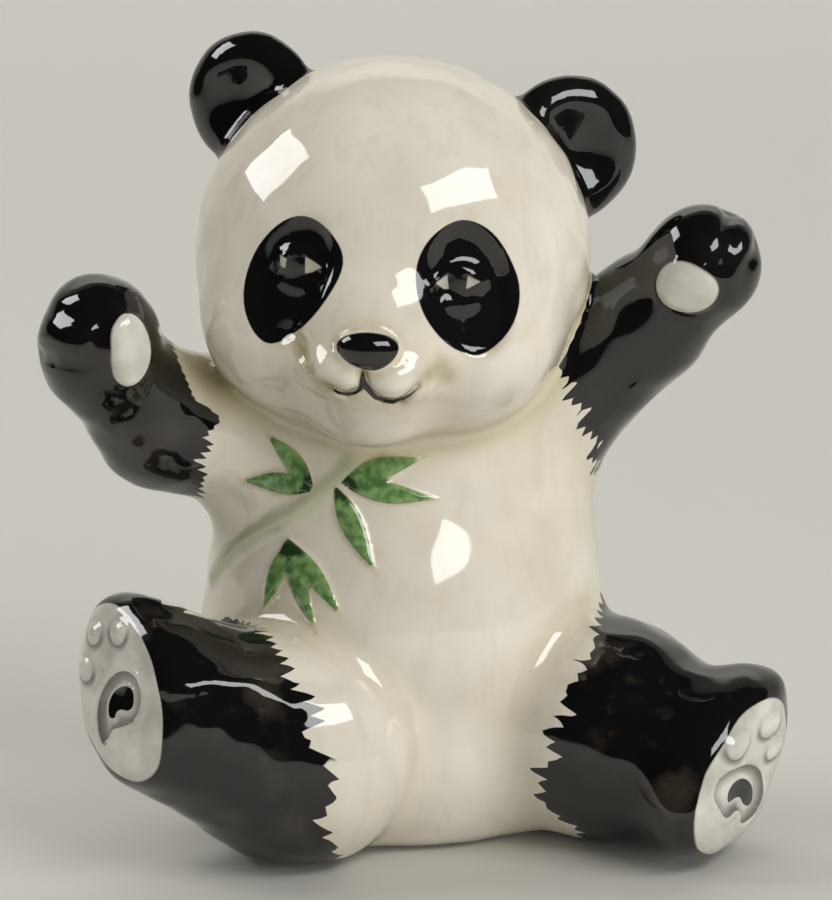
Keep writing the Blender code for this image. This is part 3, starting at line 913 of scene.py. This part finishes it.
# %% Outlines of the face paint
# In the head's own axes, seen from the front.
PATCH_OUTLINES = [
    [(-9.4, 7.2), (-6.4, 6.2), (-4.1, 3.6), (-4.4, 0.8), (-7.7, -4.6), (-11.5, -8.0), (-13.9, -6.6),
     (-15.5, -3.2), (-14.9, 1.4), (-12.4, 5.4)],
    [(9.4, 8.2), (12.2, 7.0), (14.3, 4.4), (16.2, 0.3), (15.7, -3.9), (12.6, -7.1), (9.9, -6.4),
     (7.6, -4.4), (5.4, -1.2), (4.5, 2.6), (5.4, 5.4), (7.2, 7.3)],
]
NOSE_OUTLINE = [(-3.9, -6.1), (-2.6, -4.8), (-0.3, -4.2), (2.2, -4.5), (3.5, -5.6), (2.8, -7.2),
                (1.1, -8.4), (-0.6, -8.3), (-2.6, -7.4)]
# Each point of a mouth stroke has half the width of the line as its third number.
MOUTH_LINES = [
    [(-4.4, -11.1, 0.06), (-3.2, -11.8, 0.18), (-2.2, -12.0, 0.18), (-1.2, -11.6, 0.18),
     (-0.6, -10.9, 0.26), (-0.45, -9.7, 0.30), (-0.5, -8.9, 0.12)],
    [(-0.4, -10.0, 0.30), (0.4, -11.3, 0.30), (1.1, -12.1, 0.24), (2.0, -12.5, 0.26), (3.0, -12.6, 0.24),
     (4.0, -12.2, 0.18), (5.0, -11.4, 0.11), (5.9, -10.3, 0.04)],
]
EYE_WHITES = [
    [(-11.5, 2.5), (-10.7, 2.2), (-10.8, 1.0), (-11.3, 1.1)],
    [(-8.5, 2.6), (-6.5, 1.7), (-7.6, 0.9), (-8.4, 0.7)],
    [(7.9, 1.9), (6.7, 1.0), (7.6, 0.3), (8.2, 0.3)],
    [(10.3, 2.0), (11.7, 1.3), (10.9, 0.8), (10.2, 0.4)],
]
print("Face paint:", len(PATCH_OUTLINES), "patches,", len(EYE_WHITES), "highlights in the eyes")

# %% Distance from a brush line
def off_stroke(flat, path):
    """How far each flat point lies outside a brush line whose width changes along it."""
    off = np.full(len(flat), np.inf)
    for start, end in zip(path, path[1:]):
        start, end = np.array(start, float), np.array(end, float)
        way = (end - start)[:2]
        share = np.clip((flat - start[:2]) @ way / (way @ way), 0, 1)
        away = np.linalg.norm(flat - start[:2] - share[:, None] * way, axis=1)
        off = np.minimum(off, away - start[2] - share * (end[2] - start[2]))
    return off


# %% Margins of the paints
# Paint on the face and the chest reaches this far back, and none wraps round to the rear
FACE_BACK = -8
CHEST_BACK = -2
# How far each paint goes over the edge of its form or its outline
EAR_MARGIN = 0.9
PATCH_MARGIN = 0.25
NOSE_MARGIN = 0.15
PAD_MARGIN = -0.25
STEM_HALF = 1.2
# Further off than any border is
FAR = 50.0
# A point takes its brush strokes from the limb whose border is nearest, if it lies this near
BORDER_NEAR = 6
EAR_FRAY = 0.1
FRAY_ENDS = (3, 5)
# Sole paint stays on the sole: how deep the oval goes, and how fast the marks end beside the sole
SOLE_DEPTH = 1.6
SOLE_MIDDLE = -0.2
SOLE_HALF = 2
SOLE_SHARPNESS = 4
# Painted shade: the grey round each toe is weak on top of it and full under it
TOE_WEAK = 0.15
TOE_SIDES = (-0.9, 0.9)
# The leaves stop where the chin begins
CHIN_SHARPNESS = 3
CHIN_EDGE = (-0.6, 0.0)
# Widths of the painted shade along the deep smile fold and the dimple
FOLD_HALF = 0.9
DIMPLE_HALF = 1.1
print("Brush lines of the mouth:", len(MOUTH_LINES))

# %% Paint on the limbs, the head, the soles and the chest
def limb_paint(points):
    """The limbs' black: off its border, the place round the limb, and how long the strokes are."""
    around = np.zeros(len(points))
    fray = np.zeros(len(points))
    fur = np.full(len(points), FAR)
    for limb, way in LIMB_WAYS.items():
        off = off_fur(limb, points)
        axis = np.array(way.normalized())
        over = np.cross(axis, (0, 1, 0))
        out = points - np.array(LIMB_MIDDLES[limb])
        angle = np.arctan2(out @ over, out @ np.cross(axis, over))
        nearest = (off < BORDER_NEAR) & (off < fur)
        around = np.where(nearest, angle * FUR_RADIUS, around)
        smooth_from = SMOOTH_ABOVE.get(limb, ABOVE_ALL)
        smooth = step(points[:, 2], smooth_from, smooth_from + SMOOTH_FADE)
        fray = np.where(nearest, FRAY[limb] * (1 - SMOOTHED * smooth), fray)
        fur = np.minimum(fur, off)
    return fur, around, fray


def sole_paint(points):
    """The soles' paint: off the bare oval, the ring, the spot and the toes, and each toe's shade."""
    bare = np.full(len(points), FAR)
    ring = np.full(len(points), np.inf)
    spot = np.full(len(points), np.inf)
    toes = np.full(len(points), FAR)
    shade = np.zeros(len(points))
    for side in FEET:
        flat, height = sole_place(side, points)
        on_sole = np.maximum(off_oval(flat, *SOLE_PAINT[side]), -SOLE_DEPTH - height)
        bare = np.minimum(bare, on_sole)
        beside = SOLE_SHARPNESS * np.maximum(np.abs(height - SOLE_MIDDLE) - SOLE_HALF, 0)
        ring = np.minimum(ring, off_outline(flat, rounded(SOLE_RINGS[side])) + beside)
        spot = np.minimum(spot, np.maximum(off_outline(flat, rounded(SPOTS[side])), on_sole))
        for toe in TOES[side]:
            toe_height = (FEET[side].sole + FEET[side].turn @ Vector((0, *toe[:2]))).z
            off_toe = off_oval(flat, *toe) + beside
            # Painted shade: the grey is full below each toe's middle and faint above it
            below = step(toe_height - points[:, 2], *TOE_SIDES)
            shade = np.where(off_toe < toes, TOE_WEAK + (1 - TOE_WEAK) * below, shade)
            toes = np.minimum(toes, off_toe)
    return bare, ring, spot, toes, shade


def paint_maps(points):
    """Every paint's distance to its border, and the maps that shade it, one value for each point."""
    local = (points - np.array(HEAD_CENTRE)) @ np.array(HEAD_TURN)
    front = local[:, [0, 2]]
    behind = np.maximum(local[:, 1] - FACE_BACK, 0)
    maps = {}

    fur, maps["around"], fray = limb_paint(points)
    ears = np.min([ear.distance(points) for ear in EARS.values()], axis=0) - EAR_MARGIN
    ink = np.minimum(fur, ears)
    for outline in PATCH_OUTLINES:
        ink = np.minimum(ink, off_outline(front, rounded(outline)) - PATCH_MARGIN + behind)
    ink = np.minimum(ink, off_outline(front, rounded(NOSE_OUTLINE)) - NOSE_MARGIN + behind)
    maps["ink"] = ink
    maps["fray"] = np.where(ears < fur, EAR_FRAY, fray) * (1 - step(np.minimum(fur, ears), *FRAY_ENDS))
    maps["mouth"] = np.min([off_stroke(front, line) for line in MOUTH_LINES], axis=0) + behind
    maps["eye white"] = np.min([off_outline(front, white) for white in EYE_WHITES], axis=0) + behind
    # Painted shade and gathered glaze along the deep fold and the dimple beside the mouth
    folds = np.maximum(stroke(front, DEEP_FOLD, FOLD_HALF), stroke(front, SMILE_DIMPLE, DIMPLE_HALF))
    maps["fold"] = folds * step(-local[:, 1], *FACE_FRONT)

    bare, maps["ring"], maps["spot"], maps["toe"], maps["shade"] = sole_paint(points)
    pads = np.min([pad.distance(points) for pad in PADS.values()], axis=0) - PAD_MARGIN
    maps["bare"] = np.minimum(bare, pads)

    back = np.maximum(points[:, 1] - CHEST_BACK, 0)
    leaves = np.min([off_leaf(points[:, [0, 2]], *leaf) for leaf in LEAVES], axis=0)
    maps["leaf"] = leaves + back + CHIN_SHARPNESS * step(-head_gap(points), *CHIN_EDGE)
    maps["stem"] = off_line(points, STEM) - STEM_HALF
    bases = np.array([base for base, *_ in LEAVES])
    maps["leaf base"] = np.min(np.linalg.norm(points[:, None, [0, 2]] - bases[None], axis=2), axis=1)
    return maps


print("Maps:", ", ".join(paint_maps(np.array([BELLY.centre]))))

# %% Crisp borders
# The paints whose borders are divided, and how far on either side of them
DIVISIONS = [
    (["ink", "bare", "leaf", "eye white", "spot", "mouth", "ring", "toe"], 0.75),
    (["eye white", "spot", "mouth", "ring"], 0.45),
]
LATER_ROUNDS = 2


def divide(mesh, names, reach):
    """Divides the squares that lie within reach of a border of the named paints."""
    maps = paint_maps(places(mesh))
    near = np.min([np.abs(maps[name]) for name in names], axis=0) < reach
    fine = bmesh.new()
    fine.from_mesh(mesh)
    fine.verts.ensure_lookup_table()
    edges = [e for e in fine.edges if near[e.verts[0].index] and near[e.verts[1].index]]
    bmesh.ops.subdivide_edges(fine, edges=edges, cuts=1, use_grid_fill=True)
    fine.to_mesh(mesh)
    fine.free()
    put_places(mesh, settle(places(mesh), LATER_ROUNDS))


for names, reach in DIVISIONS:
    divide(clay.data, names, reach)
clay.data.shade_smooth()
print("Squares after dividing:", len(clay.data.polygons))
print("Triangles:", sum(len(p.vertices) - 2 for p in clay.data.polygons))

# %% Store the maps
# How far out along the normal the two maps of shelter look: 1 where other clay closes the point in.
# They lay the gathered glaze and the painted shade into hollows and creases.
SHELTER_REACHES = {"crease": 1.5, "hollow": 5.0}

points = places(clay.data)
slopes = slope_of(points)
slopes /= np.maximum(np.linalg.norm(slopes, axis=1), 1e-6)[:, None]
maps = paint_maps(points)
for name, reach in SHELTER_REACHES.items():
    maps[name] = np.clip(1 - finished(points + reach * slopes) / reach, 0, 1)
for name, values in maps.items():
    stored = clay.data.attributes.new(name, "FLOAT", "POINT")
    stored.data.foreach_set("value", values.astype(np.float32))
print("Share painted black:", round(float(np.mean(maps["ink"] < 0)), 3))

# %% [markdown]
# ## Glazed earthenware
#
# Earthenware glaze is a clear glass over a cream body. It is very smooth, so lights mirror in it with
# hard edges, and it is a little wavy, so those edges wander. It gathers in creases, where it looks
# yellower, and the creases and hollows are also greyed with painted shade. The black is a thick
# underglaze that shows brown where the brush left it thin.

# %% Paint colours
CREAM = linear("#D3CCBF")
CREAM_CLOUD = linear("#C8C0B0")
CREAM_HAIR = linear("#A39B86")
# Glaze gathered in hollows, creases and the smile folds, darkened there with painted shade
HOLLOW_GLAZE_AND_SHADE = linear("#C6BF98")
CREASE_GLAZE_AND_SHADE = linear("#9C9264")
FOLD_GLAZE_AND_SHADE = linear("#8A8058")
STEM_GREEN = linear("#949E72")
LEAF_PALE = linear("#76935A")
LEAF_DEEP = linear("#45663A")
LEAF_BASE = linear("#22391C")
BLACK = linear("#100F0F")
BLACK_THIN = linear("#2B231B")
BLACK_BROWN = linear("#38322A")
MOUTH_BROWN = linear("#1C1713")
BARE_CLAY = linear("#C9C5BB")
BARE_CLOUD = linear("#ADA99F")
# Grey brushed in the soles' rings, and painted shade under the toes
BRUSHED_GREY_AND_SHADE = linear("#55534E")
SPOT_BLACK = linear("#0F0E0E")
EYE_WHITE = linear("#A39E90")

# %% How strongly each layer shows
HAIR_SHARE = 0.12
HOLLOW_SHARE = 0.55
CREASE_SHARE = 0.8
FOLD_SHARE = 0.6
STEM_SHARE = 0.62
GREY_SHARE = 0.92
# Black strokes end in points, about this far apart round the limb and of varying length
STROKE_SPACING = 1.5
STROKE_WANDER = 2.0
STROKE_VARIES = 9.0
STROKE_SHORTER = 2.0
STROKE_BEGINS = 0.55
# The glaze is nearly as smooth as glass, so lights mirror with hard edges, and its ripples are some
# 8 mm long, so the edges wander; over the thick black they are higher
GLAZE_ROUGHNESS = 0.06
GLAZE_IOR = 1.7
RIPPLE_STRENGTH = 0.12
RIPPLE_HEIGHT = 0.002
print("Glaze roughness:", GLAZE_ROUGHNESS)

# %% Noises and edges of the layers
# Each noise: how many clouds in a metre, and how many finer layers
CLOUDS = (80.0, 3.0)
HAIRS = (500.0, 2.0)
HAIR_STRETCH = (1.0, 1.0, 0.25)
WASH = (450.0, 4.0)
MOTTLE = (900.0, 4.0)
WANDER = (160.0, 1.0)
LENGTHS = (230.0, 1.0)
THIN = (500.0, 6.0)
BROWN = (110.0, 4.0)
SMEARS = (180.0, 3.0)
RIPPLES = (120.0, 1.0)
# Each edge: the value up to which a layer is full, and the value where it is gone
CLOUD_EDGE = (0.35, 0.65)
HAIR_EDGE = (0.34, 0.46)
MOTTLE_EDGE = (0.36, 0.62)
THIN_EDGE = (0.27, 0.40)
BROWN_EDGE = (0.34, 0.46)
SMEAR_EDGE = (0.36, 0.64)
BRUSH_EDGE = (-0.05, 0.08)
CRISP_EDGE = (-0.06, 0.06)
BARE_EDGE = (-0.07, 0.07)
STEM_EDGE = (0.2, 1.3)
STEM_WANDER = 1.2
LEAF_BASE_EDGE = (2.2, 2.9)
LEAF_BASE_WANDER = 2.0
# The grey lies in a band: outer and inner edge, and it stays off the spot
TOE_OUTER = (0.05, 0.75)
TOE_INNER = (0.05, -0.2)
RING_OUTER = (-0.02, 0.14)
RING_INNER = (0.0, -1.9)
OFF_SPOT = (0.8, 0.3)
print("Ripples are about", round(1000 / RIPPLES[0], 1), "mm long")

# %% Steps of the glaze material
glaze, tree, shader = new_material("glazed earthenware")


def painted(name):
    """One of the stored maps."""
    return add_node(tree, "ShaderNodeAttribute", attribute_name=name).outputs["Fac"]


def sum_of(one, other, operation="ADD"):
    """A sum, or another operation, of two values."""
    return add_node(tree, "ShaderNodeMath", {0: one, 1: other}, operation=operation).outputs[0]


def cut(value, start, end):
    """1 below start and 0 above end."""
    ends = {"Value": value, "From Min": start, "From Max": end, "To Min": 1.0, "To Max": 0.0}
    return add_node(tree, "ShaderNodeMapRange", ends).outputs["Result"]


def blend(share, under, over):
    """One colour over another."""
    inputs = {0: share, 6: under, 7: over}
    return add_node(tree, "ShaderNodeMix", inputs, data_type="RGBA").outputs[2]


place = add_node(tree, "ShaderNodeTexCoord").outputs["Object"]


def noise(scale, detail, vector=place):
    """A noise with this many clouds in a metre, and this many finer layers."""
    settings = {"Vector": vector, "Scale": scale, "Detail": detail}
    return add_node(tree, "ShaderNodeTexNoise", settings).outputs["Fac"]


def times(one, other):
    """A product of two values."""
    return sum_of(one, other, "MULTIPLY")


print("Material:", glaze.name)

# %% Glaze material
# Cream body: slow clouds about 12 mm across, faint grey brush lines, and glaze that gathers in creases,
# with painted shade in the hollows, the creases and the smile folds
cream = blend(cut(noise(*CLOUDS), *CLOUD_EDGE), CREAM, CREAM_CLOUD)
stretched = add_node(tree, "ShaderNodeMapping", {"Vector": place, "Scale": HAIR_STRETCH}).outputs[0]
hairs = noise(*HAIRS, stretched)
cream = blend(times(cut(hairs, *HAIR_EDGE), HAIR_SHARE), cream, CREAM_HAIR)
cream = blend(times(painted("hollow"), HOLLOW_SHARE), cream, HOLLOW_GLAZE_AND_SHADE)
cream = blend(times(painted("crease"), CREASE_SHARE), cream, CREASE_GLAZE_AND_SHADE)
cream = blend(times(painted("fold"), FOLD_SHARE), cream, FOLD_GLAZE_AND_SHADE)

# Bamboo: a thin wash on the stem, strong mottled green on the leaves
stem = sum_of(painted("stem"), times(noise(*WASH), STEM_WANDER))
stem = cut(stem, *STEM_EDGE)
colour = blend(times(stem, STEM_SHARE), cream, STEM_GREEN)
mottle = noise(*MOTTLE)
green = blend(cut(mottle, *MOTTLE_EDGE), LEAF_PALE, LEAF_DEEP)
base = sum_of(painted("leaf base"), times(mottle, LEAF_BASE_WANDER))
green = blend(cut(base, *LEAF_BASE_EDGE), green, LEAF_BASE)
colour = blend(cut(painted("leaf"), *CRISP_EDGE), colour, green)

# Black: the point of each stroke, then the brown where the brush left it thin
turn = sum_of(painted("around"), times(noise(*WANDER), STROKE_WANDER))
point = sum_of(turn, STROKE_SPACING / 2, "PINGPONG")
length = sum_of(times(noise(*LENGTHS), STROKE_VARIES), STROKE_SHORTER, "SUBTRACT")
fray = times(sum_of(times(point, length), STROKE_BEGINS, "SUBTRACT"), painted("fray"))
thin = cut(noise(*THIN), *THIN_EDGE)
black = blend(times(thin, painted("fray")), BLACK, BLACK_THIN)
brown = cut(noise(*BROWN), *BROWN_EDGE)
black = blend(times(brown, painted("fray")), black, BLACK_BROWN)
inked = cut(sum_of(painted("ink"), fray, "SUBTRACT"), *BRUSH_EDGE)
colour = blend(inked, colour, black)
colour = blend(cut(painted("mouth"), *BRUSH_EDGE), colour, MOUTH_BROWN)

# Pads and soles: the body shows grey-white, with grey brushed in the ring, and a faint grey round the
# toes that is painted shade under each toe
clay_grey = blend(cut(noise(*SMEARS), *SMEAR_EDGE), BARE_CLAY, BARE_CLOUD)
toe_grey_and_shade = times(cut(painted("toe"), *TOE_OUTER), cut(painted("toe"), *TOE_INNER))
toe_grey_and_shade = times(toe_grey_and_shade, painted("shade"))
in_ring = times(cut(painted("ring"), *RING_OUTER), cut(painted("ring"), *RING_INNER))
in_ring = times(in_ring, cut(painted("spot"), *OFF_SPOT))
grey_brush_and_shade = times(sum_of(toe_grey_and_shade, in_ring, "MAXIMUM"), GREY_SHARE)
clay_grey = blend(grey_brush_and_shade, clay_grey, BRUSHED_GREY_AND_SHADE)
colour = blend(cut(painted("bare"), *BARE_EDGE), colour, clay_grey)
colour = blend(cut(painted("spot"), *CRISP_EDGE), colour, SPOT_BLACK)
colour = blend(cut(painted("eye white"), *BRUSH_EDGE), colour, EYE_WHITE)

# Glaze: the ripples, and the gloss
ripples = noise(*RIPPLES)
strength = sum_of(times(inked, RIPPLE_STRENGTH), RIPPLE_STRENGTH)
waves = {"Height": ripples, "Strength": strength, "Distance": RIPPLE_HEIGHT}
bump = add_node(tree, "ShaderNodeBump", waves).outputs["Normal"]
tree.links.new(colour, shader.inputs["Base Color"])
tree.links.new(bump, shader.inputs["Normal"])
shader.inputs["Roughness"].default_value = GLAZE_ROUGHNESS
shader.inputs["IOR"].default_value = GLAZE_IOR
clay.data.materials.append(glaze)
print("Steps in the glaze material:", len(tree.nodes))

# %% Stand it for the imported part
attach(clay, "root")
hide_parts("panda")
print("Stands for the packed part:", clay.name)
